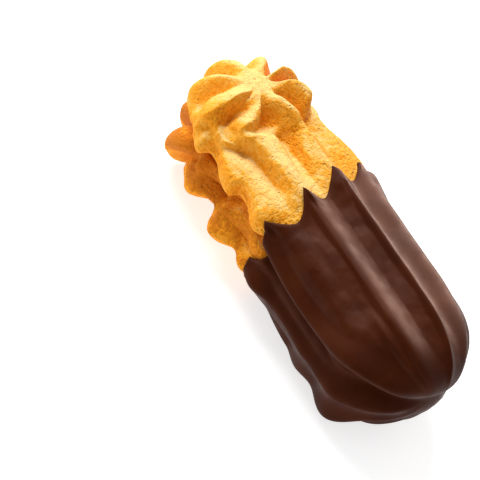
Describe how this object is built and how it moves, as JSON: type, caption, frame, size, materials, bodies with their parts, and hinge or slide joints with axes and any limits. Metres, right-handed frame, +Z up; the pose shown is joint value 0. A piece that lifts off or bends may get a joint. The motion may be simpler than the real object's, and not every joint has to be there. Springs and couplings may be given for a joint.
{
  "type": "viennese finger",
  "caption": "Piped butter biscuit of two star-piped fingers laid flat face to flat face, one end dipped in dark chocolate.",
  "frame": {"origin": "middle of the biscuit's footprint, on the surface that it rests on", "axes": "+X along the biscuit towards the chocolate-dipped tip, +Y across it, +Z up, square to the seam between the two fingers"},
  "size_m": [0.0786, 0.0339, 0.0267],
  "materials": {
    "baked_biscuit": "dry, finely porous baked crust",
    "dark_chocolate": "set chocolate with a satin sheen"
  },
  "bodies": {
    "root": {"top_finger": "baked_biscuit", "bottom_finger": "baked_biscuit", "chocolate_coat": "dark_chocolate"}
  },
  "joints": []
}
